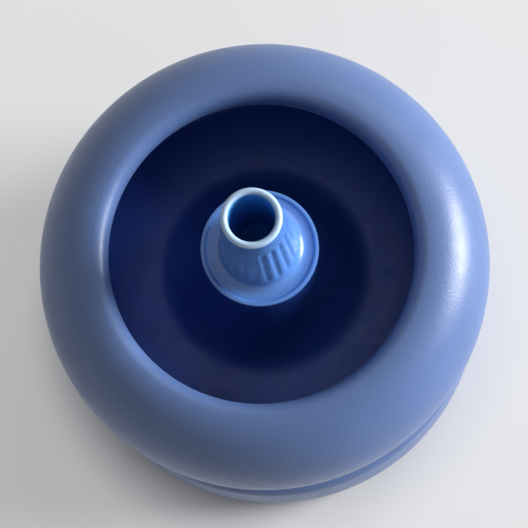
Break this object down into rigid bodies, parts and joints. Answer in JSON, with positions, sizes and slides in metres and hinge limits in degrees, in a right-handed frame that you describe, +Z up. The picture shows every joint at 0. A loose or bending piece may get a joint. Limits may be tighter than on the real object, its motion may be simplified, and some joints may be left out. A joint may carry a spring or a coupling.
{
  "type": "bead spinner",
  "caption": "Hand-turned bead spinner: a round mouthed bowl with a hollow grip knob turns on a steel axle above a stepped base.",
  "frame": {"origin": "on the table under the spin axis, level with the bottom of the rubber feet", "axes": "+Z up along the spin axis; +X and +Y pass through the screws of the bottom cover; the object is round and has no front"},
  "size_m": [0.1, 0.1, 0.107],
  "materials": {
    "body_blue": "satin moulded plastic with a fine spark texture",
    "cover_blue": "matt moulded plastic",
    "screw_steel": "zinc plated",
    "foot_rubber": "matt",
    "axle_steel": "ground and polished",
    "bearing_plastic": "natural acetal",
    "dish_navy": "smooth moulded plastic",
    "knob_blue": "smooth moulded plastic"
  },
  "bodies": {
    "base": {"base_shell": "body_blue", "base_plate": "cover_blue", "base_screws": "screw_steel", "rubber_feet": "foot_rubber", "axle": "axle_steel", "thrust_washer": "bearing_plastic", "retaining_washer": "axle_steel", "retaining_clip": "screw_steel"},
    "bowl": {"bowl_shell": "body_blue", "bowl_dish": "dish_navy", "lower_bush": "bearing_plastic", "upper_bush": "bearing_plastic", "grip_knob": "knob_blue"}
  },
  "joints": [
    {"name": "bowl_spin", "type": "hinge", "parent": "base", "child": "bowl", "pos_m": [0, 0, 0.047], "axis": [0, 0, 1], "continuous": true}
  ]
}
